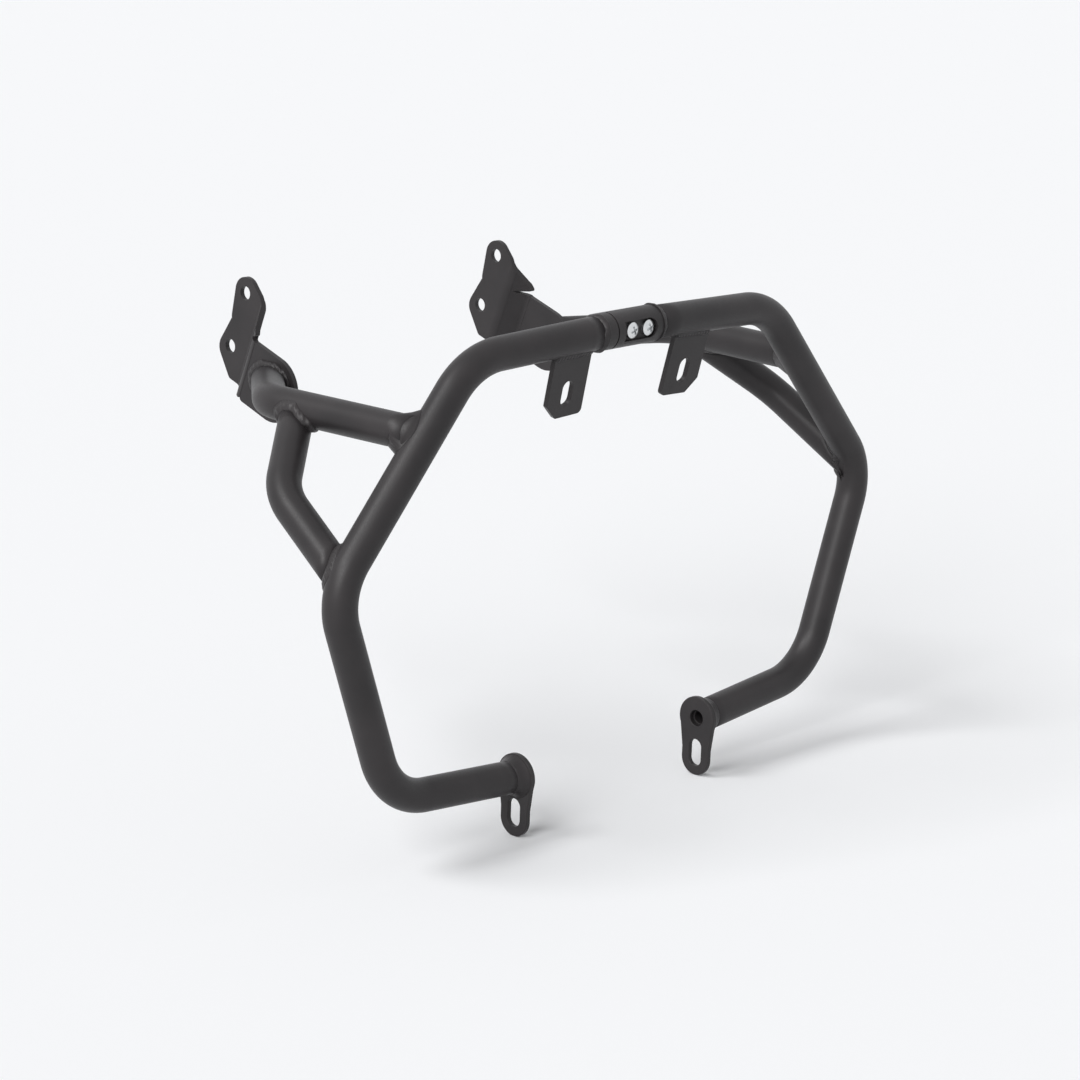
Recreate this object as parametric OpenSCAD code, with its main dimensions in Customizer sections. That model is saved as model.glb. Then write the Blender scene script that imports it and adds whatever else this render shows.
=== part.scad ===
// Motorcycle crash bars: two welded halves of bent round tube, joined at the crown by a bolted half lap.
// Origin: middle of the lower bolt line. +X to the rider's left, -Y to the front, +Z up.

/* [Tube] */
// Outside diameter of every tube
tube_od = 25.4; // [22:0.1:28]
// Wall of every tube
tube_wall = 2; // [1.5:0.1:3]

/* [Hoop] */
// Height of the crown above the upper corners
crown_rise = 5; // [0:0.5:15]
// How far the crown stands ahead of the plane of the hoop
crown_forward = 6.2; // [0:0.1:12]
// Half width at the upper corner
shoulder_x = 164.5; // [150:0.5:185]
// Height of the upper corner above the lower bolt line
shoulder_z = 324; // [300:1:340]
// Half width at the knee
knee_x = 294; // [270:1:320]
// Height of the knee
knee_z = 175.5; // [150:0.5:200]
// Half width at the lower corner
heel_x = 236.5; // [210:1:260]
// Height of the lower corner
heel_z = 11.5; // [5:0.5:20]
// Bend radius at the upper corner
shoulder_bend_r = 64; // [50:1:90]
// Bend radius at the knee
knee_bend_r = 48; // [40:1:70]
// Bend radius at the lower corner
heel_bend_r = 55; // [45:1:75]

/* [Stay] */
// How far the level rear stay lies below the upper corners
stay_drop = 47; // [36:0.5:60]
// How far the stay sits outboard of the leg's own axis
stay_outboard = 7; // [0:0.5:8]
// Half width at the stay's bend
stay_bend_x = 222.5; // [215:0.5:230]
// Distance of the stay's bend behind the hoop
stay_bend_y = 146; // [135:0.5:155]
// Bend radius of the stay
stay_bend_r = 40; // [32:1:46]

/* [Brace] */
// Distance of the brace's top joint behind the hoop
brace_top_y = 117.5; // [108:0.5:124]
// Half width at the brace's bend
brace_bend_x = 273; // [266:1:282]
// Distance of the brace's bend behind the hoop
brace_bend_y = 77; // [68:0.5:82]
// How far the brace's bend lies below the stay
brace_bend_drop = 47.5; // [40:0.5:56]
// Bend radius of the brace
brace_bend_r = 50; // [38:1:56]
// How far the brace's foot lands inboard of the knee's own axis
brace_foot_in = 5; // [0:0.5:8]
// How far the brace's foot lands above the middle of the knee's bend
brace_foot_up = 7; // [2:0.5:10]

/* [Rear bracket] */
// Thickness of the bracket's steel plate
bracket_t = 4; // [3:0.5:5]
// Half distance between the two bolting faces
bracket_x = 136; // [130:1:140]
// Distance of the lower bracket hole behind the hoop
bracket_y = 282.7; // [275:0.5:290]
// Height of the lower bracket hole above the stay
bracket_rise = 8; // [0:0.5:16]
// Forward lean of the row of holes
bracket_lean = 21; // [12:1:28]
// Distance between the two bracket holes
bracket_pitch = 47; // [42:0.5:52]
// Diameter of the bracket holes
bracket_hole_d = 11; // [8:0.5:12]
// Radius of the lobe round each hole
bracket_lobe_r = 11; // [9:0.5:13]
// How far the welded flange stands outboard of the bolting plate
bracket_step = 14; // [10:0.5:18]
// Distance from the holes to the start of the step
bracket_fold = 21; // [18:0.5:24]
// Distance from the start of the step to its end
bracket_web_run = 13.5; // [12:0.5:18]
// Bend radius of the folds, at the middle of the plate
bracket_fold_r = 6; // [4:0.5:8]
// Distance from the holes to the centre of the flange's round end
flange_reach = 67; // [62:0.5:74]
// Height of the flange
flange_h = 51; // [44:1:56]
// How far the flange's middle lies above the lower hole
flange_rise = 2.5; // [-2:0.5:5]
// Distance from the holes to the stay on the flange
stay_seat_u = 61; // [57:0.5:64]
// How far the stay's seat lies above the lower hole
stay_seat_w = 6; // [2:0.5:9]

/* [Upper tab] */
// Distance of the tab from the middle of the hoop
tab_x = 66.5; // [60:0.5:76]
// Width of the tab
tab_w = 39; // [32:0.5:44]
// Thickness of the tab
tab_t = 4; // [3:0.5:5]
// Length of the tab below the tube's axis
tab_drop = 60; // [52:0.5:68]
// Backward lean of the tab
tab_lean = 13; // [0:1:20]
// How far the tab's front face lies ahead of the tube's axis
tab_front = 7; // [5:0.5:8.5]
// Length of the tab's slot
tab_slot_l = 20; // [16:0.5:24]
// Width of the tab's slot
tab_slot_w = 11; // [8:0.5:13]
// Depth of the slot's middle below the tube's axis
tab_slot_drop = 41; // [38:0.5:45]
// Size of the big outer chamfer
tab_chamfer = 12; // [8:0.5:16]
// Radius of the small inner corner
tab_corner_r = 4; // [2:0.5:6]

/* [Foot plate] */
// Half distance between the inner faces of the foot plates
foot_x = 102; // [96:1:110]
// Thickness of the foot plate
foot_t = 4; // [3:0.5:5]
// Radius of the plate round the bore
foot_r = 17.5; // [16:0.5:20]
// Diameter of the bore through the plate
foot_bore_d = 13; // [12:0.5:14]
// Distance from the bore to the slot's middle
foot_slot_drop = 28.5; // [27:0.5:32]
// Length of the slot
foot_slot_l = 22; // [18:0.5:24]
// Width of the slot
foot_slot_w = 12; // [10:0.5:14]
// Steel left round the slot
foot_rim = 7.5; // [6:0.5:9]
// Diameter of the tapped bore in the bush
bush_bore_d = 10.3; // [8.5:0.1:10.8]
// Depth of the tapped bore
bush_bore_l = 28; // [20:1:34]
// Length of the bush inside the tube
bush_l = 36; // [36:1:48]

/* [Crown splice] */
// How far the splice sits to the right of the middle
splice_shift = 9.5; // [0:0.5:12]
// Outside diameter of the splice plugs
plug_od = 28; // [28:0.1:31]
// Half distance between the ends of the two hoop tubes
plug_shoulder = 30; // [27:0.5:34]
// Half length of the lap between the two tongues
lap_half = 21; // [19.5:0.5:23]
// Gap at the end of each tongue
lap_end_gap = 1; // [0.4:0.1:1.6]
// Gap between the two flat lap faces
lap_face_gap = 0.4; // [0.1:0.1:0.6]
// Length of the spigot inside the tube
spigot_l = 25; // [18:1:32]
// Distance between the two splice screws
screw_pitch = 17.5; // [15.5:0.5:19]
// How far the pair of screws sits to the left of the splice's middle
screw_shift = 6; // [2:0.5:7]
// Diameter of the screw thread
screw_d = 6; // [5:0.5:6]
// Length of the screw below its head
screw_l = 16; // [13:1:17]
// Diameter of the screw head
screw_head_d = 12; // [10:0.5:12.5]
// Height of the screw head
screw_head_h = 4.6; // [3.5:0.1:5]
// Depth of the pocket for the screw heads
pocket_depth = 5.2; // [4.7:0.1:6.5]
// Clearance round the screw heads in the pocket
pocket_gap = 1.5; // [0.5:0.1:1.5]

/* [Welds] */
// Width of the weld fillets
weld = 4; // [3:0.1:5]
// Radius of the bead round the splice plugs
ring_bead = 1.8; // [1.2:0.1:2.2]

/* [Hidden] */
$fn = 48;

black = "#343134";
zinc = "#d9dcde";

tube_r = tube_od / 2;
bore_r = tube_r - tube_wall;
// Clearance of a plug or bush inside a tube
plug_gap = 0.1;
// How far a cutting shape runs past what it cuts
past = 30;
// A bend is this much stouter than a straight, which runs into it
swell = 0.2;
overlap = 0.6;

// Corners of the hoop's centre line, from the splice to the foot
plate_face = foot_x + foot_t;
crown_z = shoulder_z + crown_rise;
splice_end = [plug_shoulder, -crown_forward, crown_z];
shoulder = [shoulder_x, 0, shoulder_z];
knee = [knee_x, 0, knee_z];
heel = [heel_x, 0, heel_z];
foot = [plate_face, 0, 0];
hoop_path = [splice_end, shoulder, knee, heel, foot];
hoop_bends = [shoulder_bend_r, knee_bend_r, heel_bend_r];

// Point on the crown's axis where a half's tube ends, this far outboard of the usual place
function tube_end(out) = splice_end + crown_run * out / crown_run.x;
crown_run = unit(shoulder - splice_end);

// Middle of the knee's bend, on the tube's axis
knee_inward = unit(unit(shoulder - knee) + unit(heel - knee));
knee_half = turn(shoulder, knee, heel) / 2;
knee_centre = knee + knee_inward * knee_bend_r / cos(knee_half);
knee_middle = knee_centre - knee_inward * knee_bend_r;

stay_z = shoulder_z - stay_drop;
bracket_z = stay_z + bracket_rise;

// Flange of the rear bracket, in the bracket's own directions: up the row of holes, and forward
flange_x = bracket_x + bracket_t / 2 + bracket_step;
flange_face = flange_x + bracket_t / 2;
function bracket_point(w, u, x) = [
    x,
    bracket_y - u * cos(bracket_lean) - w * sin(bracket_lean),
    bracket_z - u * sin(bracket_lean) + w * cos(bracket_lean)
];

// Centre line of the stay, from the leg to the flange
leg_lean = atan2(shoulder_z - knee_z, knee_x - shoulder_x);
stay_front_x = shoulder_x + (shoulder_z - stay_z) / tan(leg_lean) + stay_outboard / sin(leg_lean);
stay_front = [stay_front_x, 0, stay_z];
stay_bend = [stay_bend_x, stay_bend_y, stay_z];
stay_seat = bracket_point(stay_seat_w, stay_seat_u, flange_face);
stay_path = [stay_front, stay_bend, stay_seat];
// The stay's front end is trimmed this far behind the plane of the hoop
stay_trim = 6;

// Centre line of the brace, from the stay to the knee
brace_drop = 3;
brace_top_x = stay_front_x + (stay_bend_x - stay_front_x) * brace_top_y / stay_bend_y;
brace_top = [brace_top_x, brace_top_y, stay_z - brace_drop];
brace_bend = [brace_bend_x, brace_bend_y, stay_z - brace_bend_drop];
brace_foot = knee_middle + [-brace_foot_in, 0, brace_foot_up];
brace_path = [brace_top, brace_bend, brace_foot];

// Point and directions of the upper tab on the hoop tube
tab_seat = splice_end + crown_run * (tab_x - plug_shoulder) / crown_run.x;
tab_roll = atan2(-crown_run.z, crown_run.x);

plug_r = plug_od / 2;
splice_y = -crown_forward;
pocket_w = screw_head_d + 2 * pocket_gap;
screw_xs = [screw_shift - screw_pitch / 2, screw_shift + screw_pitch / 2];
pocket_floor = plug_r - pocket_depth;

function unit(v) = v / norm(v);
function turn(a, b, c) = acos(unit(b - a) * unit(c - b));
function setback(a, b, c, r) = r * tan(turn(a, b, c) / 2);
function aim(d) = [0, acos(d.z / norm(d)), atan2(d.y, d.x)];
// Angle round the direction n at which the direction e lies, after n is turned up from Z
function spin(n, e) =
    let (tilt = aim(n), a = tilt[1], b = tilt[2], flat = cos(b) * e.x + sin(b) * e.y)
    atan2(cos(b) * e.y - sin(b) * e.x, cos(a) * flat - sin(a) * e.z);

// Straight round bar from p to q, longer by before and after
module rod(p, q, r, before = 0, after = 0) {
    d = unit(q - p);
    translate(p - d * before)
        rotate(aim(d))
            cylinder(h = norm(q - p) + before + after, r = r);
}

// Round bar bent at b on its way from a to c
module bent_rod(a, b, c, bend_r, r) {
    u = unit(a - b);
    v = unit(c - b);
    half = turn(a, b, c) / 2;
    centre = b + unit(u + v) * bend_r / cos(half);
    start = unit(b + u * setback(a, b, c, bend_r) - centre);
    end = unit(b + v * setback(a, b, c, bend_r) - centre);
    n = unit(cross(start, end));
    translate(centre)
        rotate(aim(n))
            rotate([0, 0, spin(n, start)])
                rotate_extrude(angle = 2 * half)
                    translate([bend_r, 0])
                        circle(r + swell);
}

// Round bar along a path of corners, with one bend radius for each inner corner
module path_rod(path, bends, r, before = 0, after = 0) {
    last = len(path) - 1;
    cut = [
        for (i = [0:last])
            i == 0 || i == last ? 0 : setback(path[i - 1], path[i], path[i + 1], bends[i - 1])
    ];
    for (i = [0:last - 1]) {
        d = unit(path[i + 1] - path[i]);
        rod(
            path[i] + d * cut[i], path[i + 1] - d * cut[i + 1], r,
            i == 0 ? before : overlap, i == last - 1 ? after : overlap
        );
    }
    for (i = [1:last - 1])
        bent_rod(path[i - 1], path[i], path[i + 1], bends[i - 1], r);
}

module path_tube(path, bends, before = 0, after = 0) {
    difference() {
        path_rod(path, bends, tube_r, before, after);
        path_rod(path, bends, bore_r, before + 1, after + 1);
    }
}

// Flat convex plate whose corners are arcs: each corner is [x, y, radius], listed anticlockwise
module rounded_plate(corners) {
    n = len(corners);
    tangents = [
        for (i = [0:n - 1])
            let (
                a = corners[i],
                b = corners[(i + 1) % n],
                d = [b[0] - a[0], b[1] - a[1]],
                side = atan2(d[1], d[0]) - acos((a[2] - b[2]) / norm(d))
            )
            for (c = [a, b]) [c[0] + c[2] * cos(side), c[1] + c[2] * sin(side)]
    ];
    polygon(tangents);
    for (c = corners)
        translate([c[0], c[1]])
            circle(c[2]);
}

module obround(l, w) {
    square([l - w, w], center = true);
    for (s = [-1, 1])
        translate([s * (l - w) / 2, 0])
            circle(d = w);
}

// Part of a ring between two angles less than 180 degrees apart
module ring_part(mid_r, t, from, to) {
    reach = 3 * mid_r;
    intersection() {
        difference() {
            circle(mid_r + t / 2 + swell);
            circle(mid_r - t / 2 - swell);
        }
        polygon([[0, 0], reach * [cos(from), sin(from)], reach * [cos(to), sin(to)]]);
    }
}

module left() {
    children();
}

module right() {
    mirror([1, 0, 0])
        children();
}

// Whole ring that the knee's bend is a part of
module knee_ring(r = tube_r) {
    translate(knee_centre)
        rotate([90, 0, 0])
            rotate_extrude()
                translate([knee_bend_r, 0])
                    circle(r + swell);
}

// Everything inboard of a plane that faces outboard at this distance
module inboard_of(x) {
    translate([x - 2 * past, -past, -past])
        cube([2 * past, 2 * past, 2 * past]);
}

// The tube of one half ends this far outboard of the usual place at the splice
module hoop_tube(out) {
    color(black)
        difference() {
            path_tube(hoop_path, hoop_bends, splice_shift + plug_shoulder / 4, plug_shoulder / 4);
            translate([0, splice_end.y, splice_end.z])
                inboard_of(plug_shoulder + out);
            inboard_of(plate_face);
        }
}

module flange_side() {
    translate([0, stay_seat.y, stay_seat.z])
        inboard_of(flange_face);
}

module stay_tube() {
    color(black)
        difference() {
            path_tube(stay_path, [stay_bend_r], -stay_trim, 1.5 * tube_r);
            rod(shoulder, knee, tube_r);
            flange_side();
        }
}

module brace_tube() {
    color(black)
        difference() {
            path_tube(brace_path, [brace_bend_r]);
            rod(stay_front, stay_bend, tube_r);
            knee_ring();
        }
}

// Turns [up the holes, forward, outboard] into the bracket's place
module bracket_place() {
    translate([0, bracket_y, bracket_z])
        rotate([180 + bracket_lean, 0, 0])
            rotate([0, 90, 0])
                children();
}

bracket_web = atan2(bracket_step, bracket_web_run);
fold_run = bracket_fold_r * tan(bracket_web / 2);
ridge = bracket_fold + bracket_web_run;
relief = 2;

// Section of the folded plate: forward along x, outboard along y, from the bolting face
module bracket_section() {
    mid = bracket_t / 2;
    end = flange_reach + flange_h;
    lap = overlap / 2;
    translate([-2 * bracket_lobe_r, 0])
        square([2 * bracket_lobe_r + bracket_fold - fold_run + lap, bracket_t]);
    translate([bracket_fold - fold_run, mid + bracket_fold_r])
        ring_part(bracket_fold_r, bracket_t, -90, bracket_web - 90);
    translate([bracket_fold, mid])
        rotate(bracket_web)
            translate([fold_run - lap, -mid])
                square([norm([bracket_web_run, bracket_step]) - 2 * fold_run + 2 * lap, bracket_t]);
    translate([ridge + fold_run, mid + bracket_step - bracket_fold_r])
        ring_part(bracket_fold_r, bracket_t, 90, 90 + bracket_web);
    translate([ridge + fold_run - lap, bracket_step])
        square([end - ridge - fold_run, bracket_t]);
}

// Side view of the bracket: up the holes along x, forward along y
module bracket_outline() {
    top = bracket_pitch;
    lobe = bracket_lobe_r;
    flange_top = flange_rise + flange_h / 2;
    flange_low = flange_rise - flange_h / 2;
    difference() {
        union() {
            // Upper lobe and the lip that runs down to the relief
            rounded_plate([
                [0.56 * top, 1, 0.8 * lobe], [top + 1, 0, lobe + 0.5], [top + 3.5, lobe + 3, 2.5],
                [flange_top + relief + 2, ridge - 0.4, 1.6]
            ]);
            // Lower lobe and the foot of the bolting plate
            rounded_plate([
                [-2, -0.5, lobe + 0.5], [0.4 * top, 0, 0.65 * lobe], [flange_top - 2, ridge + 1, 1],
                [flange_low + 4, ridge, 4], [flange_low + 3.5, lobe - 1.5, 4.5]
            ]);
            // Flange that the stay is welded to
            rounded_plate([
                [flange_low + 2.5, ridge + 6, 3.5], [flange_top - 3.5, ridge - 3, 2],
                [flange_rise, flange_reach, flange_h / 2]
            ]);
        }
        translate([flange_top, ridge])
            square([relief, bracket_lobe_r]);
        for (w = [0, bracket_pitch])
            translate([w, 0])
                circle(d = bracket_hole_d);
    }
}

module rear_bracket() {
    color(black)
        bracket_place()
            intersection() {
                translate([0, 0, bracket_x])
                    rotate([90, 0, 90])
                        translate([0, 0, -2 * past])
                            linear_extrude(5 * past)
                                bracket_section();
                translate([0, 0, bracket_x - 1])
                    linear_extrude(bracket_step + bracket_t + 2)
                        bracket_outline();
            }
}

// Turns [outboard along the tube, down the tab, forward] into the tab's place
module tab_place() {
    translate(tab_seat)
        rotate([0, tab_roll, 0])
            rotate([90 + tab_lean, 0, 0])
                children();
}

module tab_outline() {
    half = tab_w / 2;
    r = tab_corner_r;
    chamfer_r = 2;
    difference() {
        rounded_plate([
            [-half + r, -tab_drop + r, r],
            [half - tab_chamfer, -tab_drop + chamfer_r, chamfer_r],
            [half - chamfer_r, -tab_drop + tab_chamfer, chamfer_r],
            [half - 1, -1, 1],
            [-half + 1, -1, 1]
        ]);
        translate([0, -tab_slot_drop])
            rotate(90)
                obround(tab_slot_l, tab_slot_w);
    }
}

module upper_tab() {
    color(black)
        difference() {
            tab_place()
                translate([0, 0, tab_front - tab_t])
                    linear_extrude(tab_t)
                        tab_outline();
            rod(splice_end, shoulder, tube_r);
        }
}

// Side view of the foot plate: forward along x, up along y
module foot_outline() {
    tab_r = foot_slot_w / 2 + foot_rim;
    low = foot_slot_drop + foot_slot_l / 2 - foot_slot_w / 2;
    difference() {
        union() {
            circle(foot_r);
            rounded_plate([[0, 0, tab_r], [0, -low, tab_r]]);
            rounded_plate([[0, 0, foot_r - 0.5], [0, -foot_slot_drop + 4, tab_r]]);
        }
        circle(d = foot_bore_d);
        translate([0, -foot_slot_drop])
            rotate(90)
                obround(foot_slot_l, foot_slot_w);
    }
}

module foot_plate() {
    color(black)
        translate([foot_x, 0, 0])
            rotate([90, 0, 90])
                linear_extrude(foot_t)
                    foot_outline();
}

module foot_bush() {
    toward_heel = unit(heel - foot);
    color(black)
        difference() {
            rod(foot, foot + toward_heel * bush_l, bore_r - plug_gap, past / 3);
            inboard_of(plate_face);
            rod(foot - [1, 0, 0], foot + [bush_bore_l, 0, 0], bush_bore_d / 2);
        }
}

// Turns [left, up, forward] from the middle of the splice, moved outboard on the half that is drawn
module splice_place(out) {
    translate([out, splice_y, crown_z])
        rotate([90, 0, 0])
            children();
}

// Round bar of the splice between two places along X
module splice_bar(x0, x1, r) {
    translate([x0, 0, 0])
        rotate([0, 90, 0])
            cylinder(h = x1 - x0, r = r);
}

// Plug body on the left side: a collar, a spigot in the tube and a tongue on one side of the lap
module plug_body(out) {
    front = out < 0 ? 1 : -1;
    splice_place(out)
        splice_bar(lap_half, plug_shoulder, plug_r);
    difference() {
        rod(tube_end(out), tube_end(out) + crown_run * spigot_l, bore_r - plug_gap, past / 4);
        translate([0, splice_end.y, splice_end.z])
            inboard_of(plug_shoulder + out);
    }
    splice_place(out)
        intersection() {
            splice_bar(lap_end_gap - lap_half, lap_half, plug_r);
            translate([0, 0, front * (plug_r + lap_face_gap / 2)])
                cube([2 * plug_shoulder, 2 * plug_od, plug_od], center = true);
        }
}

// Long pocket with one square end and one round end, for the screw heads
module pocket_outline() {
    square_end = screw_xs[0] - pocket_w / 2 - 1.5 * pocket_gap;
    translate([square_end, -pocket_w / 2])
        square([screw_xs[1] - square_end, pocket_w]);
    translate([screw_xs[1], 0])
        circle(d = pocket_w);
}

// Left plug: its tongue lies in front and holds the screw heads
module front_plug() {
    color(black)
        difference() {
            plug_body(-splice_shift);
            splice_place(-splice_shift) {
                translate([0, 0, pocket_floor])
                    linear_extrude(plug_r)
                        pocket_outline();
                for (x = screw_xs)
                    translate([x, 0, -1])
                        cylinder(h = plug_r, d = screw_d + 0.6);
            }
        }
}

// Right plug, drawn on the left side: its tongue lies behind and takes the screw threads
module rear_plug() {
    color(black)
        difference() {
            plug_body(splice_shift);
            splice_place(splice_shift)
                for (x = screw_xs)
                    translate([-x, 0, pocket_floor - screw_l - 2])
                        cylinder(h = screw_l, d = screw_d);
        }
}

// Pan head screw with a cross recess
module splice_screw(x) {
    dome = 0.8 * screw_head_d;
    recess = 0.14 * screw_head_d;
    color(zinc)
        splice_place(-splice_shift)
            translate([x, 0, pocket_floor])
                difference() {
                    union() {
                        translate([0, 0, -screw_l])
                            cylinder(h = screw_l, d = screw_d);
                        intersection() {
                            cylinder(h = screw_head_h, d = screw_head_d);
                            translate([0, 0, screw_head_h - dome])
                                sphere(dome);
                        }
                    }
                    for (a = [20, 110])
                        rotate(a)
                            translate([-2 * recess, -recess / 2, screw_head_h / 2])
                                cube([4 * recess, recess, screw_head_h]);
                }
}

// The stay's weld also closes the part of its bore that the leg leaves open
module stay_weld() {
    back = [0, 1.3 * stay_trim, 0];
    root_r = bore_r - stay_outboard;
    color(black)
        difference() {
            intersection() {
                rod(shoulder + back, knee + back, tube_r + weld);
                rod(stay_front, stay_bend, tube_r + weld / 2, past / 2);
            }
            rod(shoulder, knee, tube_r);
            rod(stay_front, stay_bend, root_r, past);
            difference() {
                rod(stay_front, stay_bend, tube_r, -stay_trim);
                rod(stay_front, stay_bend, bore_r, past);
            }
        }
}

module brace_top_weld() {
    color(black)
        difference() {
            intersection() {
                rod(stay_front, stay_bend, tube_r + weld);
                rod(brace_top, brace_bend, tube_r + weld);
            }
            rod(stay_front, stay_bend, tube_r, past);
            rod(brace_top, brace_bend, tube_r, past);
        }
}

module brace_foot_weld() {
    color(black)
        difference() {
            intersection() {
                knee_ring(tube_r + weld);
                rod(brace_foot, brace_bend, tube_r + weld);
            }
            knee_ring();
            rod(brace_foot, brace_bend, tube_r, past);
        }
}

module bracket_weld() {
    color(black)
        difference() {
            intersection() {
                rod(stay_bend, stay_seat, tube_r + weld, 0, past);
                translate([0, stay_seat.y, stay_seat.z])
                    inboard_of(flange_face + weld);
            }
            flange_side();
            rod(stay_bend, stay_seat, tube_r, 0, 2 * past);
        }
}

// Beads along both faces of the tab, where it meets the tube
module tab_weld() {
    bead = weld * 0.8;
    color(black)
        difference() {
            for (face = [tab_front, tab_front - tab_t]) {
                side = face == tab_front ? 1 : -1;
                depth = sqrt(tube_r * tube_r - face * face);
                tab_place()
                    translate([-tab_w / 2, -depth, face + side * bead / 4])
                        rotate([0, 90, 0])
                            cylinder(h = tab_w, r = bead);
            }
            rod(splice_end, shoulder, tube_r);
            tab_place()
                translate([-tab_w, -2 * tab_drop, tab_front - tab_t])
                    cube([2 * tab_w, 2 * tab_drop, tab_t]);
        }
}

module foot_weld() {
    color(black)
        difference() {
            translate(foot)
                rotate(aim(heel - foot))
                    translate([0, 0, -weld])
                        cylinder(h = 2.6 * weld, r1 = tube_r + 1.8 * weld, r2 = tube_r - 0.4 * weld);
            rod(foot, heel, tube_r, past);
            inboard_of(plate_face);
            translate([plate_face, 0, 0])
                rotate([0, 90, 0])
                    difference() {
                        cylinder(h = past, r = 2 * foot_r);
                        cylinder(h = past, r = foot_r - 0.5);
                    }
        }
}

module splice_weld(out) {
    color(black)
        difference() {
            splice_place(out)
                translate([plug_shoulder, 0, 0])
                    rotate([0, 90, 0])
                        rotate_extrude()
                            intersection() {
                                translate([tube_r + ring_bead / 3, 0])
                                    circle(ring_bead);
                                translate([tube_r - 1, 0])
                                    square(3 * ring_bead);
                            }
            rod(splice_end, shoulder, tube_r, past);
        }
}

left() hoop_tube(-splice_shift);  // left_hoop_tube
left() stay_tube();  // left_stay_tube
left() brace_tube();  // left_brace_tube
left() rear_bracket();  // left_rear_bracket
left() upper_tab();  // left_upper_tab
left() foot_plate();  // left_foot_plate
left() foot_bush();  // left_foot_bush
left() front_plug();  // left_splice_plug
left() stay_weld();  // left_stay_weld
left() brace_top_weld();  // left_brace_top_weld
left() brace_foot_weld();  // left_brace_foot_weld
left() bracket_weld();  // left_bracket_weld
left() tab_weld();  // left_tab_weld
left() foot_weld();  // left_foot_weld
left() splice_weld(-splice_shift);  // left_splice_weld
right() hoop_tube(splice_shift);  // right_hoop_tube
right() stay_tube();  // right_stay_tube
right() brace_tube();  // right_brace_tube
right() rear_bracket();  // right_rear_bracket
right() upper_tab();  // right_upper_tab
right() foot_plate();  // right_foot_plate
right() foot_bush();  // right_foot_bush
right() rear_plug();  // right_splice_plug
right() stay_weld();  // right_stay_weld
right() brace_top_weld();  // right_brace_top_weld
right() brace_foot_weld();  // right_brace_foot_weld
right() bracket_weld();  // right_bracket_weld
right() tab_weld();  // right_tab_weld
right() foot_weld();  // right_foot_weld
right() splice_weld(splice_shift);  // right_splice_weld
splice_screw(screw_xs[0]);  // inner_splice_screw
splice_screw(screw_xs[1]);  // outer_splice_screw
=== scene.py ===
# %% [markdown]
# # Motorcycle crash bars
# These bars are a steel hoop that stands round the engine. Two bent tube halves meet at the crown in
# a bolted half lap, and each half carries a stay, a brace, a plate bracket, a slotted tab and a foot
# plate. Everything but the two screws wears one black powder coat, so the looks come from clean
# tubes, soft plate edges, weld beads with their ripples, and a finely textured satin finish.
#
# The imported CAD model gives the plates, the bushes, the splice plugs and the screws. The tubes and
# the weld beads are made again here, because a swept tube can be as smooth as the real one and a
# bead needs its ripples in the mesh.

# %% Load the frame
import math

import bmesh
import bpy
import numpy as np
from mathutils import Matrix, Vector


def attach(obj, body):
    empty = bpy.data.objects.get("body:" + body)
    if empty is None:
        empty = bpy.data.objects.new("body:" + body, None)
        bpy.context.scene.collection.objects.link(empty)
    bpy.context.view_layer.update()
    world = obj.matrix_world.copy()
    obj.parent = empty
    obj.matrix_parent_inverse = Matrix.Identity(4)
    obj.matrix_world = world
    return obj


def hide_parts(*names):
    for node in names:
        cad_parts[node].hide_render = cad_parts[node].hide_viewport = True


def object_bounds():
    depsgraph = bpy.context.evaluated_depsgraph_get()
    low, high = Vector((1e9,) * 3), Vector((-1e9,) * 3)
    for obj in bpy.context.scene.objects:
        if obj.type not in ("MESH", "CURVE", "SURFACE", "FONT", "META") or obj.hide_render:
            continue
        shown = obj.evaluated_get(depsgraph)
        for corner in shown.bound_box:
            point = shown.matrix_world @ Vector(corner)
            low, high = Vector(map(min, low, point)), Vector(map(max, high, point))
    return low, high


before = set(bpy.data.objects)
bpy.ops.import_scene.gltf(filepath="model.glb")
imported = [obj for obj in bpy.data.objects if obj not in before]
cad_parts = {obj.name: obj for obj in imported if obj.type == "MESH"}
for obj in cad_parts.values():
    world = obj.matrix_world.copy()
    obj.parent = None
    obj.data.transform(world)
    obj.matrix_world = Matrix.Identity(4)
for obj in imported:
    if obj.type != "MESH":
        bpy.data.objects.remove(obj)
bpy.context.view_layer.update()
MM = 0.001
print("nodes in the frame:", len(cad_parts))

# %% [markdown]
# ## Sizes
# The tube route repeats the sizes of the CAD source, in millimetres, because a scene can only read
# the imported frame. Each corner of a route has a bend radius of its own.

# %% Sizes of the tubes
TUBE_R = 12.7
TUBE_WALL = 2.0
PLATE_FACE = 106.0
FLANGE_FACE = 154.0
PLUG_SHOULDER = 30.0
SPLICE_SHIFT = 9.5
SHOULDER_BEND, KNEE_BEND, HEEL_BEND = 64.0, 48.0, 55.0
STAY_BEND = 40.0
STAY_Z = 277.0
STAY_OUTBOARD = 7.0
STAY_TRIM = 6.0
BRACE_BEND = 50.0
BRACE_TOP_Y = 117.5
BRACE_TOP_DROP = 3.0
BRACE_BEND_DROP = 47.5
BRACE_FOOT_SHIFT = np.array([-5.0, 0.0, 7.0])


def unit(v):
    return v / np.linalg.norm(v, axis=-1, keepdims=True)


splice_end = np.array([PLUG_SHOULDER, -6.2, 329.0])
shoulder = np.array([164.5, 0.0, 324.0])
knee = np.array([294.0, 0.0, 175.5])
heel = np.array([236.5, 0.0, 11.5])
foot = np.array([PLATE_FACE, 0.0, 0.0])

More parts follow.
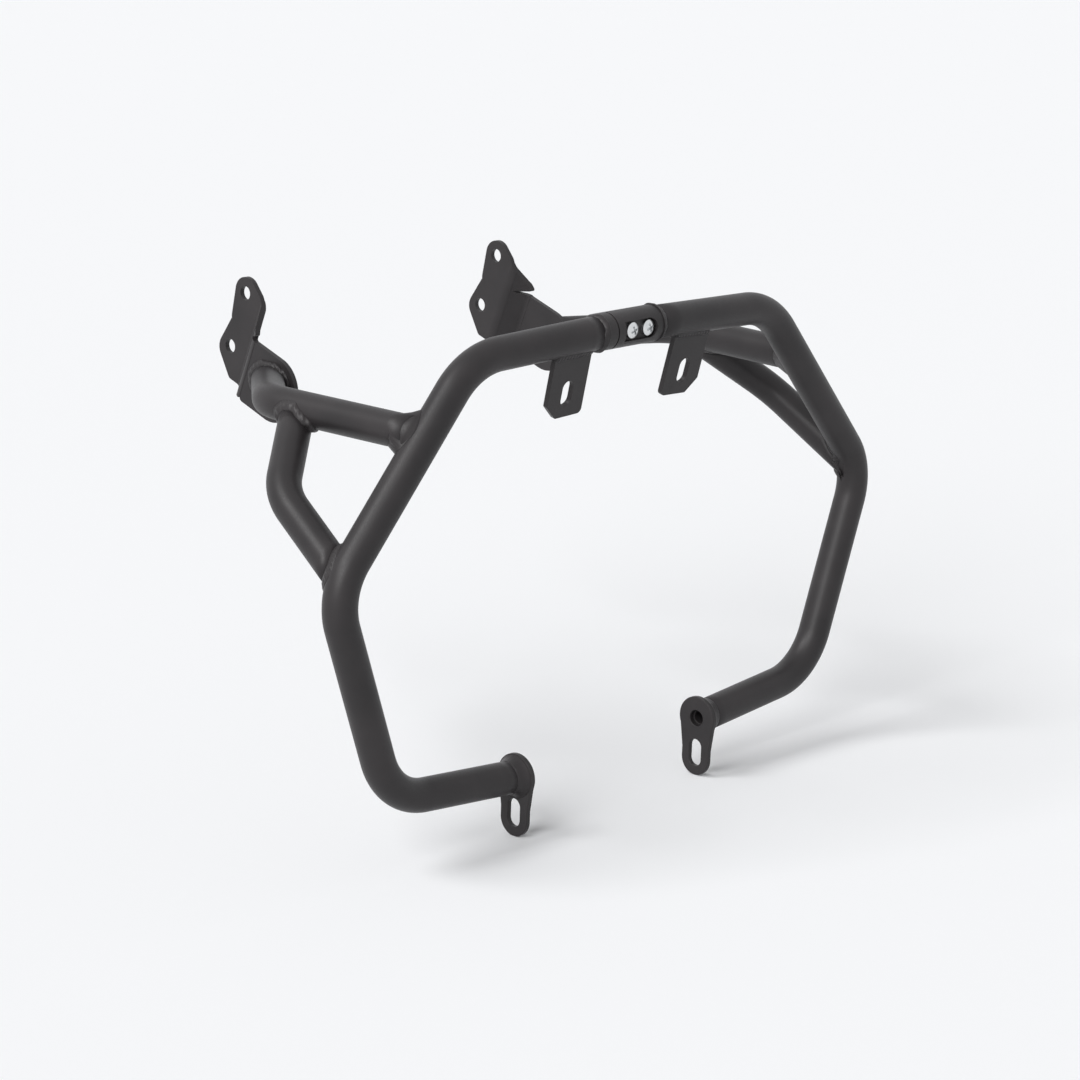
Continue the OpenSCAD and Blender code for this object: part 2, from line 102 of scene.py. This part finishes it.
leg_lean = math.atan2(shoulder[2] - knee[2], knee[0] - shoulder[0])
leg_x = shoulder[0] + (shoulder[2] - STAY_Z) / math.tan(leg_lean)
stay_front = np.array([leg_x + STAY_OUTBOARD / math.sin(leg_lean), 0.0, STAY_Z])
stay_bend = np.array([222.5, 146.0, STAY_Z])
# The seat lies on the bracket, which leans, so the CAD source works out its depth and its height
stay_seat = np.array([FLANGE_FACE, 223.601, 268.741])

brace_top = stay_front + (stay_bend - stay_front) * BRACE_TOP_Y / stay_bend[1]
brace_top[2] -= BRACE_TOP_DROP
brace_bend = np.array([273.0, 77.0, STAY_Z - BRACE_BEND_DROP])
# The brace lands beside the middle of the knee's bend
knee_in = unit(unit(shoulder - knee) + unit(heel - knee))
knee_half = math.acos(float(unit(knee - shoulder) @ unit(heel - knee))) / 2
knee_middle = knee + knee_in * KNEE_BEND * (1 / math.cos(knee_half) - 1)
brace_foot = knee_middle + BRACE_FOOT_SHIFT
print("stay leaves the leg at", np.round(stay_front, 1))

# %% [markdown]
# ## Routes
# A bent tube is straights joined by arcs. Sampling each arc every couple of degrees gives a centre
# line that a round section can be swept along. The same centre line also measures how far any point
# lies from the tube's surface, which is what a coped joint and a weld bead need.

# %% Turn corners and bend radii into a centre line
ARC_STEP = math.radians(2.5)
LEAST_ARC_STEPS = 4


def route(corners, bends):
    """Points on the centre line, in mm: the ends as given, the other corners rounded by bends."""
    points = [np.array(corners[0], float)]
    for before, corner, after, radius in zip(corners, corners[1:], corners[2:], bends):
        back, ahead = unit(before - corner), unit(after - corner)
        half = (math.pi - math.acos(float(back @ ahead))) / 2
        centre = corner + unit(back + ahead) * radius / math.cos(half)
        start = corner + back * radius * math.tan(half) - centre
        normal = unit(np.cross(start, ahead))
        side = np.cross(normal, start)
        steps = max(LEAST_ARC_STEPS, math.ceil(2 * half / ARC_STEP))
        for i in range(steps + 1):
            a = 2 * half * i / steps
            points.append(centre + start * math.cos(a) + side * math.sin(a))
    points.append(np.array(corners[-1], float))
    return np.array(points)


hoop_bends = [SHOULDER_BEND, KNEE_BEND, HEEL_BEND]
hoop_line = route([splice_end, shoulder, knee, heel, foot], hoop_bends)
stay_line = route([stay_front, stay_bend, stay_seat], [STAY_BEND])
brace_line = route([brace_top, brace_bend, brace_foot], [BRACE_BEND])
for name, line in (("hoop", hoop_line), ("stay", stay_line), ("brace", brace_line)):
    length = np.linalg.norm(np.diff(line, axis=0), axis=1).sum()
    print(f"{name}: {len(line)} points, {length:.0f} mm of tube")

# %% [markdown]
# ## Surfaces to cut and weld against
# A coped tube end follows the surface it meets. Each such surface is an object that tells two things
# of any point: how high it stands above the surface, and which way is straight out from there.


# %% Surfaces
class TubeSkin:
    """Outside of a tube round a centre line."""

    def __init__(self, line):
        self.a, self.b = line[:-1], line[1:]

    def probe(self, p):
        """Height of each point above the skin, and the outward direction there."""
        ab = self.b - self.a
        t = np.einsum("nij,ij->ni", p[:, None] - self.a, ab) / (ab**2).sum(1)
        near = self.a + np.clip(t, 0, 1)[..., None] * ab
        gap = np.linalg.norm(p[:, None] - near, axis=2)
        k = gap.argmin(1)
        rows = np.arange(len(p))
        return gap[rows, k] - TUBE_R, unit(p - near[rows, k])


class FlatSkin:
    """A flat face."""

    def __init__(self, point, normal):
        self.p, self.n = np.array(point, float), unit(np.array(normal, float))

    def probe(self, p):
        """Height of each point above the face, and the outward direction."""
        return (p - self.p) @ self.n, np.broadcast_to(self.n, p.shape)


hoop_skin, stay_skin = TubeSkin(hoop_line), TubeSkin(stay_line)
flange_skin = FlatSkin([FLANGE_FACE, 0, 0], [1, 0, 0])
plate_skin = FlatSkin([PLATE_FACE, 0, 0], [1, 0, 0])
bend_gap = hoop_skin.probe(stay_bend[None])[0][0]
print(f"the corner of the stay's route is {bend_gap:.0f} mm from the hoop's skin")

# %% Walk to a surface
WALK_STEPS = 60
LEAST_STEP = 0.02
ON_SKIN = 0.001


def walk(p, d, skin):
    """How far each point goes along d to meet the skin, or to where it passes closest."""
    travelled = np.zeros(len(p))
    best, best_gap = travelled.copy(), np.full(len(p), np.inf)
    for _ in range(WALK_STEPS):
        gap, _normal = skin.probe(p + travelled[:, None] * d)
        better = gap < best_gap
        best[better], best_gap[better] = travelled[better], gap[better]
        travelled = travelled + np.where(gap > ON_SKIN, np.maximum(gap, LEAST_STEP), 0)
    met = best_gap < LEAST_STEP
    return np.where(met, travelled, best)


# %% [markdown]
# ## Finishes
# Powder coat is a thermoset polyester or epoxy dust, baked on after welding. It levels out while it
# melts, which leaves a satin skin with a slight orange peel, and it rounds every corner a little.
# Seen close, fine grains make tiny bright points in the highlights, so the bump carries two scales:
# a grain of about 1 mm and a slow peel of about 4.5 mm. The grain is drawn coarser than on a real
# coat, where it would be too fine to show in a render of this size.

# %% Colour and node helpers


def linear(hex_colour):
    """An sRGB colour such as #3a3a3c as linear RGBA."""
    values = [int(hex_colour[i : i + 2], 16) / 255 for i in (1, 3, 5)]
    steps = (v / 12.92 if v <= 0.04045 else ((v + 0.055) / 1.055) ** 2.4 for v in values)
    return (*steps, 1.0)


def feed(tree, node, **sockets):
    """Gives inputs a value or a link. A key is an input's label, or i and its number."""
    for key, value in sockets.items():
        numbered = key[0] == "i" and key[1:].isdigit()
        socket = node.inputs[int(key[1:]) if numbered else key.replace("_", " ")]
        if isinstance(value, bpy.types.NodeSocket):
            tree.links.new(value, socket)
        else:
            socket.default_value = value


def add(tree, kind, settings=None, **sockets):
    """Adds a node. Settings are its properties, and its inputs are fed with the sockets."""
    made = tree.nodes.new(kind)
    for key, value in (settings or {}).items():
        setattr(made, key, value)
    feed(tree, made, **sockets)
    return made


def ramp(tree, value, *stops):
    """Colour output of a ramp with two stops, each a position and a hex colour."""
    made = add(tree, "ShaderNodeValToRGB", Fac=value)
    for element, (position, hex_colour) in zip(made.color_ramp.elements, stops):
        element.position, element.color = position, linear(hex_colour)
    return made.outputs["Color"]


def noise(tree, place, size, **sockets):
    """Strength of a noise whose features have this size in mm. The place is in metres."""
    made = add(tree, "ShaderNodeTexNoise", Vector=place, Scale=1 / (size * MM), **sockets)
    return made.outputs["Fac"]


def new_material(name):
    """A material, its node tree and its shader."""
    material = bpy.data.materials.new(name)
    material.use_nodes = True
    tree = material.node_tree
    shader = next(n for n in tree.nodes if n.type == "BSDF_PRINCIPLED")
    return material, tree, shader


# %% Black powder coat
CLOUD_SIZE, PEEL_SIZE, GRAIN_SIZE = 45, 4.5, 1.1
BUMP_HEIGHT = 0.06 * MM

powder, tree, shader = new_material("satin_black_powder_coat")
place = add(tree, "ShaderNodeTexCoord").outputs["Object"]
cloud = noise(tree, place, CLOUD_SIZE, Detail=3.0, Roughness=0.5)
peel = noise(tree, place, PEEL_SIZE, Detail=1.0, Roughness=0.4)
grain = noise(tree, place, GRAIN_SIZE, Detail=2.0, Roughness=0.6)
tint = ramp(tree, cloud, (0.3, "#252324"), (0.72, "#302d2e"))
matt_to_satin = dict(From_Min=0.35, From_Max=0.75, To_Min=0.48, To_Max=0.36)
specks = add(tree, "ShaderNodeMapRange", Value=grain, **matt_to_satin).outputs["Result"]
rise = add(tree, "ShaderNodeBump", Height=peel, Strength=0.25, Distance=BUMP_HEIGHT)
rise = rise.outputs["Normal"]
fine = add(tree, "ShaderNodeBump", Height=grain, Strength=0.65, Distance=BUMP_HEIGHT, Normal=rise)
fine = fine.outputs["Normal"]
feed(tree, shader, Base_Color=tint, Roughness=specks, Normal=fine)
feed(tree, shader, IOR=1.5, Specular_IOR_Level=0.28)
print("made", powder.name)

# %% [markdown]
# The two splice screws look zinc plated: a metal with a bright, slightly cold mirror that fine
# plating grain softens. They are the only bright things on the part, so they get their own metal,
# with a tone that varies slowly and fine pits that make the shine uneven.

# %% Bright zinc plate
BLOOM_SIZE, PIT_SIZE = 3.0, 0.5
PIT_DEPTH = 0.02 * MM

zinc, tree, shader = new_material("bright_zinc_plate")
place = add(tree, "ShaderNodeTexCoord").outputs["Object"]
bloom = noise(tree, place, BLOOM_SIZE, Detail=2.0)
pits = noise(tree, place, PIT_SIZE, Detail=2.0)
tone = ramp(tree, bloom, (0.0, "#c3c6ca"), (1.0, "#e4e4e2"))
polish = add(tree, "ShaderNodeMapRange", Value=pits, To_Min=0.2, To_Max=0.38).outputs["Result"]
plating = add(tree, "ShaderNodeBump", Height=pits, Strength=0.3, Distance=PIT_DEPTH)
plating = plating.outputs["Normal"]
feed(tree, shader, Base_Color=tone, Roughness=polish, Normal=plating, Metallic=1.0)
print("made", zinc.name)

# %% [markdown]
# ## Placing a piece
# Every piece is made once for the left half, in millimetres, and a mirrored copy serves the right
# half. A mirror turns faces inside out, so the copy's corners are listed backwards.

# %% Make objects for both halves
SIDES = {"left": 1, "right": -1}


def stand_in(obj, node):
    """Adds an object that rides on the part and stands for a CAD node."""
    bpy.context.scene.collection.objects.link(obj)
    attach(obj, "root")
    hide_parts(node)


def one_half(side, name, points, faces):
    """A coated piece of one half, given as on the left half, for the CAD node of that name."""
    sign = SIDES[side]
    node = f"{side}_{name}"
    turned = faces if sign > 0 else [tuple(reversed(f)) for f in faces]
    mesh = bpy.data.meshes.new(node)
    mesh.from_pydata([tuple(p) for p in np.asarray(points) * [sign, 1, 1] * MM], [], turned)
    mesh.update()
    mesh.polygons.foreach_set("use_smooth", [True] * len(mesh.polygons))
    mesh.materials.append(powder)
    stand_in(bpy.data.objects.new(node, mesh), node)


def both_halves(name, points, faces):
    """One coated piece for each half."""
    for side in SIDES:
        one_half(side, name, points, faces)
    print(f"{name}: {len(points)} points, {len(faces)} faces on each half")


# %% [markdown]
# ## Tubes
# A tube is swept as lines that run its whole length side by side, here 64 of them. Each line starts
# and ends where it meets its neighbour, so a joint is a true fish mouth with no hidden overlap. The
# bore is made the same way with a smaller radius, and the two skins are joined at both ends.

# %% Sweep a round section along a route
AROUND = 64
CLEAR = 30.0
FACE_LENGTH = 12.0


def carried_axes(line):
    """Directions along the line, and one side direction carried along without twist."""
    ahead = unit(np.gradient(line, axis=0))
    ahead[0], ahead[-1] = unit(line[1] - line[0]), unit(line[-1] - line[-2])
    up = np.array([0.0, 1.0, 0.0]) if abs(ahead[0][1]) < 0.9 else np.array([0.0, 0.0, 1.0])
    side = [unit(np.cross(ahead[0], up))]
    for d in ahead[1:]:
        s = side[-1] - d * (side[-1] @ d)
        side.append(unit(s))
    return ahead, np.array(side)


def ring_round(line, k, radius, around):
    """At one place on a route: points round the tube, the ways out there, and the way ahead."""
    ahead, side = carried_axes(line)
    turn = np.linspace(0, 2 * math.pi, around, endpoint=False)[:, None]
    out = np.cos(turn) * side[k] + np.sin(turn) * np.cross(ahead[k], side[k])
    return line[k] + radius * out, out, ahead[k]


def clear_ring(line, first):
    """Number of the ring nearest to an end that is well clear of the tube met there."""
    ends = np.linalg.norm(line - line[0 if first else -1], axis=1)
    far = np.flatnonzero(ends >= CLEAR)
    return far[0] if first else far[-1]


def met_ring(line, first, radius, skin, around, trim=None):
    """The end ring: points carried straight on from a clear ring until they meet the skin."""
    k, outward = clear_ring(line, first), -1 if first else 1
    base, out, ahead = ring_round(line, k, radius, around)
    d = outward * ahead
    reach = walk(base, np.broadcast_to(d, base.shape), skin)
    if trim is not None:
        reach = np.minimum(reach, trim(base, d))
    return base + reach[:, None] * d, out, -d


def skin_lines(line, radius, start, end, trim=None):
    """Rings of points round a route, the end rings moved to where they meet a surface."""
    clear = range(clear_ring(line, True), clear_ring(line, False) + 1)
    rings = [ring_round(line, k, radius, AROUND)[0] for k in clear]
    head = met_ring(line, True, radius, start, AROUND, trim)[0]
    tail = met_ring(line, False, radius, end, AROUND)[0]
    return np.array([head, (head + rings[0]) / 2, *rings, (tail + rings[-1]) / 2, tail])


def grid_faces(rows, offset=0, flip=False):
    """Quads between neighbouring rings of points."""
    quads = []
    for i in range(rows - 1):
        a, b = offset + i * AROUND, offset + (i + 1) * AROUND
        for j in range(AROUND):
            k = (j + 1) % AROUND
            quad = (a + j, a + k, b + k, b + j)
            quads.append(tuple(reversed(quad)) if flip else quad)
    return quads


def tube(line, start, end, trim=None):
    """Points and faces of a hollow tube."""
    outer = skin_lines(line, TUBE_R, start, end, trim)
    inner = skin_lines(line, TUBE_R - TUBE_WALL, start, end, trim)
    rows = len(outer)
    count = rows * AROUND
    last = count - AROUND
    points = np.concatenate([outer.reshape(-1, 3), inner.reshape(-1, 3)])
    faces = grid_faces(rows) + grid_faces(rows, count, flip=True)
    for j in range(AROUND):
        k = (j + 1) % AROUND
        faces.append((k, j, count + j, count + k))
        faces.append((last + j, last + k, count + last + k, count + last + j))
    return points, faces


def along_straight(line):
    """Adds points along the straights, so that faces there are not much longer than wide."""
    out = [line[0]]
    for a, b in zip(line, line[1:]):
        steps = max(1, round(np.linalg.norm(b - a) / FACE_LENGTH))
        out += [a + (b - a) * i / steps for i in range(1, steps + 1)]
    return np.array(out)


def beside_leg(base, d):
    """How far points go to the stay's square cut, behind the hoop's plane, beside the leg."""
    return (STAY_TRIM - base[:, 1]) / d[1]


hoop_path, stay_path, brace_path = map(along_straight, (hoop_line, stay_line, brace_line))
both_halves("stay_tube", *tube(stay_path, hoop_skin, flange_skin, beside_leg))
both_halves("brace_tube", *tube(brace_path, stay_skin, hoop_skin))

# The splice sits a little to the right of the middle, so the left hoop tube is the longer one
splice_skins = {}
for side, sign in SIDES.items():
    splice_skins[side] = FlatSkin([PLUG_SHOULDER - sign * SPLICE_SHIFT, 0, 0], [1, 0, 0])
    one_half(side, "hoop_tube", *tube(hoop_path, splice_skins[side], plate_skin))

# %% [markdown]
# ## Weld beads
# A hand-laid bead is a chain of small puddles, each a crescent that froze over the one before.
# Under powder coat the crescents soften to ripples, here 3 to 7 mm apart, and the bead's edges
# wander by up to a millimetre and a half. A bead here is a section swept along the seam. It runs
# from a line on one surface to a line on the other and bulges between them. The bulge follows the
# ripples, and the width and height follow the hand. The edges are sunk into the steel, so no gap
# shows.

# %% Sweep a rippled bead along a seam
ACROSS = 8
SUNK = 0.6
BEAD_POINTS = 240
CRESCENT_LAG = 1.1
CREST_POWER = 1.4
BLUNTEST_END = 0.02
# Of each wave in the hand's drift: its share, its number along the seam, its phase per seed
DRIFT_WAVES = ((0.5, 3, 1.0), (0.3, 7, 2.3), (0.2, 13, 4.1))


def wander(u, length, seed):
    """A smooth closed wave between about -1 and 1, for the hand's drift along a seam."""
    turn = 2 * math.pi * u / length
    return sum(share * np.sin(count * turn + phase * seed) for share, count, phase in DRIFT_WAVES)


def bead(
    seam, out, along, skin, wide, tall, bulge, ripple, seed, pitch=3.2, drift=0.08, closed=True
):
    """Points and faces of a bead. Seam points lie on a tube or plate, with out its way outward.

    The bead spreads wide over the skin met, climbs tall along the seam's own piece, and swells by
    bulge between the two. It has ripples every pitch mm. Its edges wander by the share drift.
    """
    n = len(seam)
    gap, normal = skin.probe(seam)
    root = seam - normal * gap[:, None]
    away = unit(out - normal * np.einsum("ij,ij->i", out, normal)[:, None])
    steps = np.linalg.norm(np.roll(seam, -1, 0) - seam, axis=1)
    u = np.concatenate([[0], np.cumsum(steps[:-1])])
    length = u[-1] + (steps[-1] if closed else 0)
    pitch = length / round(length / pitch)
    hand = 1 + drift * wander(u, length, seed)
    ends = np.ones(n)
    if not closed:
        into_end = (np.abs(u - length / 2) - length / 2 + wide) / wide
        ends = np.sqrt(np.clip(1 - into_end.clip(0, 1) ** 2, BLUNTEST_END, 1))
    low = root + away * (wide * hand * ends)[:, None]
    gap, low_normal = skin.probe(low)
    low = low - low_normal * gap[:, None]
    high = seam + along * (tall * (2 - hand) * ends)[:, None]
    puff = unit(out + normal)
    section = [low - low_normal * SUNK]
    for i in range(ACROSS + 1):
        s = i / ACROSS
        lag = CRESCENT_LAG * (1 - (2 * s - 1) ** 2)
        crest = 1 - np.abs(np.sin(math.pi * (u - lag) / pitch)) ** CREST_POWER
        lift = (bulge + ripple * (crest - 0.5)) * math.sin(math.pi * s) * ends
        section.append(low * (1 - s) + high * s + puff * lift[:, None])
    section.append(high - out * SUNK)
    section.append(seam - out * SUNK)
    rows = np.array(section).transpose(1, 0, 2)
    count = rows.shape[1]
    faces = []
    for i in range(n if closed else n - 1):
        k = (i + 1) % n
        for j in range(count):
            m = (j + 1) % count
            faces.append((i * count + j, k * count + j, k * count + m, i * count + m))
    if not closed:
        faces += [tuple(range(count)), tuple(reversed(range((n - 1) * count, n * count)))]
    return rows.reshape(-1, 3), faces


def facing_out(points, faces):
    """Turns the faces over if the closed mesh is inside out."""
    volume = 0.0
    for f in faces:
        for j, k in zip(f[1:], f[2:]):
            volume += float(np.dot(points[f[0]], np.cross(points[j], points[k])))
    return faces if volume > 0 else [tuple(reversed(f)) for f in faces]


def ring_bead(line, first, skin, trim=None, **shape):
    """A bead round a tube's end."""
    seam, out, along = met_ring(line, first, TUBE_R, skin, BEAD_POINTS, trim)
    points, faces = bead(seam, out, along, skin, **shape)
    return points, facing_out(points, faces)


# %% Beads round the tubes' ends
BEADS = {
    "stay_weld": (
        (stay_path, True, hoop_skin, beside_leg),
        dict(wide=5.5, tall=10.5, bulge=0.0, ripple=0.1, drift=0.03, seed=1.0),
    ),
    "brace_top_weld": (
        (brace_path, True, stay_skin),
        dict(wide=4.5, tall=4.5, bulge=0.9, ripple=0.5, drift=0.35, pitch=5.0, seed=2.6),
    ),
    "brace_foot_weld": (
        (brace_path, False, hoop_skin),
        dict(wide=4.0, tall=4.0, bulge=0.6, ripple=0.4, seed=3.7),
    ),
    "bracket_weld": (
        (stay_path, False, flange_skin),
        dict(wide=4.0, tall=4.5, bulge=0.9, ripple=0.55, drift=0.3, pitch=4.5, seed=4.2),
    ),
    "foot_weld": (
        (hoop_path, False, plate_skin),
        dict(wide=4.0, tall=9.5, bulge=-0.9, ripple=0.06, drift=0.02, seed=5.1),
    ),
}
SPLICE_BEAD = dict(wide=1.85, tall=3.6, bulge=0.4, ripple=0.4, drift=0.25, pitch=6.5)
SPLICE_SEED = 6.4

for name, (end, shape) in BEADS.items():
    both_halves(name, *ring_bead(*end, **shape))
for side, skin in splice_skins.items():
    seed = SPLICE_SEED + SIDES[side]
    one_half(side, "splice_weld", *ring_bead(hoop_path, True, skin, **SPLICE_BEAD, seed=seed))

# %% Beads along both faces of the upper tab
TAB_X, TAB_W, TAB_FRONT, TAB_T = 66.5, 39.0, 7.0, 4.0
TAB_LEAN = math.radians(13)
TAB_BEAD = dict(wide=2.8, tall=2.6, bulge=0.7, ripple=0.5, closed=False)
TAB_BEAD_POINTS = 120
TAB_SEED = 7.0

crown_run = unit(shoulder - splice_end)
tab_seat = splice_end + crown_run * (TAB_X - PLUG_SHOULDER) / crown_run[0]
roll = math.atan2(-crown_run[2], crown_run[0])


def in_tab(v):
    """A direction in the tab's own axes (along the tube, up, forward) as one in the row frame."""
    lean = math.pi / 2 + TAB_LEAN
    x = v[0]
    y = v[1] * math.cos(lean) - v[2] * math.sin(lean)
    z = v[1] * math.sin(lean) + v[2] * math.cos(lean)
    turned_x = x * math.cos(roll) + z * math.sin(roll)
    return np.array([turned_x, y, -x * math.sin(roll) + z * math.cos(roll)])


tab_points, tab_faces = [], []
for face, sign in ((TAB_FRONT, 1), (TAB_FRONT - TAB_T, -1)):
    depth = math.sqrt(TUBE_R**2 - face**2)
    x = np.linspace(-TAB_W / 2, TAB_W / 2, TAB_BEAD_POINTS)[:, None]
    seam = tab_seat + x * in_tab((1, 0, 0)) + in_tab((0, -depth, face))
    out = np.broadcast_to(in_tab((0, 0, sign)), seam.shape)
    down = in_tab((0, -1, 0))
    points, faces = bead(seam, out, down, hoop_skin, **TAB_BEAD, seed=TAB_SEED + face)
    base = sum(len(p) for p in tab_points)
    faces = facing_out(points, faces)
    tab_faces += [tuple(base + i for i in f) for f in faces]
    tab_points.append(points)
both_halves("tab_weld", np.concatenate(tab_points), tab_faces)

# %% [markdown]
# ## Plates and splice
# Laser-cut plate comes off the bench with a broken edge, and powder coat rounds it further, so a
# bright thin line runs round every plate. The CAD plates are exact but have knife edges. Each one is
# copied, its flat faces are joined up again, and a narrow bevel goes round the sharp edges.

# %% Copy CAD nodes with softened edges
SAME_SPOT = 0.001 * MM
FLAT_ANGLE = math.radians(0.5)
SHARP_ANGLE = math.radians(35)
BEVEL_STEPS = 3


def softened(node, width, material):
    """A copy of a CAD node with rounded edges, which stands for it."""
    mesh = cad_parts[node].data.copy()
    mesh.name = node + ".soft"
    mesh.materials.clear()
    mesh.materials.append(material)
    form = bmesh.new()
    form.from_mesh(mesh)
    bmesh.ops.remove_doubles(form, verts=form.verts, dist=SAME_SPOT)
    bmesh.ops.dissolve_limit(form, angle_limit=FLAT_ANGLE, verts=form.verts, edges=form.edges)
    form.to_mesh(mesh)
    form.free()
    cad_normals = mesh.attributes.get("custom_normal")
    if cad_normals is not None:
        mesh.attributes.remove(cad_normals)
    mesh.polygons.foreach_set("use_smooth", [True] * len(mesh.polygons))
    obj = bpy.data.objects.new(node + ".soft", mesh)
    edge = obj.modifiers.new("broken_edge", "BEVEL")
    edge.width = width * MM
    edge.segments = BEVEL_STEPS
    edge.limit_method = "ANGLE"
    edge.angle_limit = SHARP_ANGLE
    edge.harden_normals = True
    stand_in(obj, node)


PLATE_EDGE, BUSH_EDGE, PLUG_EDGE, SCREW_EDGE = 0.6, 0.3, 1.1, 0.35
for side in SIDES:
    for node in ("rear_bracket", "upper_tab", "foot_plate"):
        softened(f"{side}_{node}", PLATE_EDGE, powder)
    softened(f"{side}_foot_bush", BUSH_EDGE, powder)
    softened(f"{side}_splice_plug", PLUG_EDGE, powder)
for node in ("inner_splice_screw", "outer_splice_screw"):
    softened(node, SCREW_EDGE, zinc)
print("softened plates, bushes, plugs and screws")

# %% [markdown]
# ## Stage, light and camera
# A product shot on white: a pale floor that takes the shadow, an even sky, and two wide soft lamps
# at the upper left that draw the long highlights on the tubes. The camera stands to the front right
# of the motorcycle, above the bars, with a long lens.

# %% Floor
FLOOR_HALF = 40.0
FLOOR_GAP = 0.2 * MM
OFF_WHITE = linear("#f7f8fa")

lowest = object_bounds()[0][2]
turns = ((-1, -1), (1, -1), (1, 1), (-1, 1))
floor_mesh = bpy.data.meshes.new("floor")
floor_mesh.from_pydata([(x * FLOOR_HALF, y * FLOOR_HALF, 0) for x, y in turns], [], [(0, 1, 2, 3)])
floor = bpy.data.objects.new("floor", floor_mesh)
floor.location.z = lowest - FLOOR_GAP
bpy.context.scene.collection.objects.link(floor)
paper, tree, shader = new_material("white_paper_sweep")
feed(tree, shader, Base_Color=OFF_WHITE, Roughness=0.9)
floor_mesh.materials.append(paper)
print(f"floor at {floor.location.z / MM:.1f} mm")

# %% World
# The camera and glossy bounces see the white backdrop. Diffuse light comes from a dimmer sky
world = bpy.data.worlds.new("studio")
bpy.context.scene.world = world
world.use_nodes = True
tree = world.node_tree
tree.nodes.clear()
rays = add(tree, "ShaderNodeLightPath")
seen = rays.outputs["Is Camera Ray"]
for kind in ("Is Glossy Ray", "Is Transmission Ray"):
    either = {"operation": "MAXIMUM"}
    seen = add(tree, "ShaderNodeMath", either, i0=seen, i1=rays.outputs[kind]).outputs["Value"]
sky = add(tree, "ShaderNodeBackground", Color=linear("#ffffff"), Strength=0.3)
backdrop = add(tree, "ShaderNodeBackground", Color=OFF_WHITE, Strength=1.0)
halves = dict(i1=sky.outputs["Background"], i2=backdrop.outputs["Background"])
both = add(tree, "ShaderNodeMixShader", i0=seen, **halves)
add(tree, "ShaderNodeOutputWorld", Surface=both.outputs["Shader"])
print("made the world", world.name)


# %% Soft lamps, far away, so that the floor is lit evenly
def lamp(name, azimuth, elevation, spread, strength):
    """A soft lamp, by the direction it stands in as seen from the part, in degrees from the front."""
    light = bpy.data.lights.new(name, "SUN")
    light.angle = math.radians(spread)
    light.energy = strength
    a, e = math.radians(azimuth), math.radians(elevation)
    toward = Vector((math.sin(a) * math.cos(e), -math.cos(a) * math.cos(e), math.sin(e)))
    obj = bpy.data.objects.new(name, light)
    obj.rotation_euler = toward.to_track_quat("Z", "Y").to_euler()
    bpy.context.scene.collection.objects.link(obj)
    print(f"{name}: {spread} degrees wide")


lamp("key", -112, 50, 26, 1.35)
lamp("front_key", -76, 32, 36, 2.1)

# %% Camera
FOCAL_PX, IMAGE_PX, SENSOR = 3156.22, 1080, 36.0
AZIMUTH, ELEVATION, TILT = (math.radians(a) for a in (-47.228, 15.0, 1.843))
# The camera was solved from the photo round an origin of its own. It stands this far to its own
# right, up and back from there, and the frame's origin lies this far from there
FROM_SOLVED_ORIGIN = np.array([-69.488, -160.415, 2333.203])
FRAME_ORIGIN = np.array([0, 7.5, -331.5])
CLIP_END = 50

aside, forward = math.sin(AZIMUTH) * math.cos(ELEVATION), math.cos(AZIMUTH) * math.cos(ELEVATION)
back = np.array([aside, -forward, math.sin(ELEVATION)])
level = np.array([math.cos(AZIMUTH), math.sin(AZIMUTH), 0])
upright = np.cross(back, level)
right = math.cos(TILT) * level + math.sin(TILT) * upright
up = -math.sin(TILT) * level + math.cos(TILT) * upright
axes = np.array([right, up, back])
eye = (axes.T @ FROM_SOLVED_ORIGIN - FRAME_ORIGIN) * MM
camera_data = bpy.data.cameras.new("camera")
camera_data.lens = FOCAL_PX / IMAGE_PX * SENSOR
camera_data.sensor_width = SENSOR
camera_data.clip_end = CLIP_END
camera = bpy.data.objects.new("camera", camera_data)
camera.location = eye
camera.rotation_mode = "QUATERNION"
bpy.context.scene.collection.objects.link(camera)
camera.rotation_quaternion = Matrix(axes.T.tolist()).to_quaternion()
bpy.context.scene.camera = camera
bpy.context.scene.view_settings.view_transform = "Standard"
print(f"camera {np.linalg.norm(eye):.2f} m away, {camera_data.lens:.0f} mm lens")
